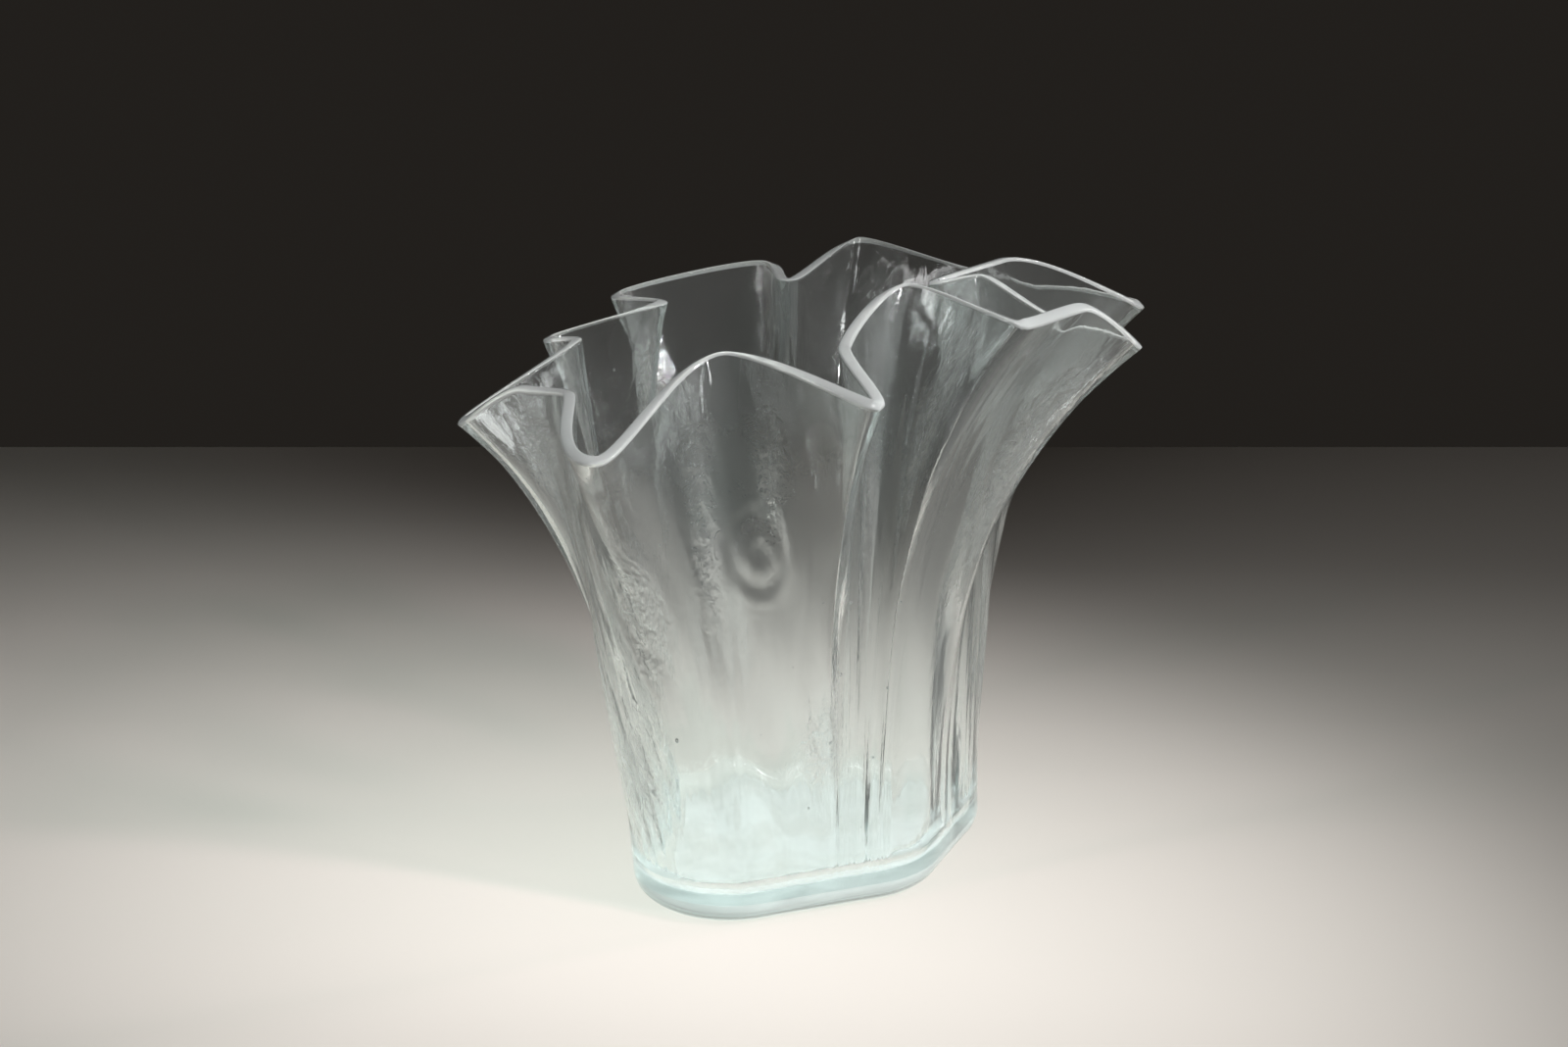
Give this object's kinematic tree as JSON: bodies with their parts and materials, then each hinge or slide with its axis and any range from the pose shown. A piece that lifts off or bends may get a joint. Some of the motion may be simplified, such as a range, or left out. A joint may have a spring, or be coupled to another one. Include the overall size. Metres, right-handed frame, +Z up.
{
  "type": "vase",
  "caption": "Blown glass vase with a thick, soft-cornered square foot and a wide ruffled rim of tall lobes and deep folds, open at the top.",
  "frame": {"origin": "middle of the foot's flat underside, which rests on the surface at z = 0", "axes": "+Z up, out of the open mouth; -Y towards the front, from where the vase is seen; +X to the right seen from the front"},
  "size_m": [0.2294, 0.2258, 0.2124],
  "materials": {
    "clear_glass": "clear, fire-polished, with a faint aqua tint where it is thick"
  },
  "bodies": {
    "root": {"vase": "clear_glass"}
  },
  "joints": []
}
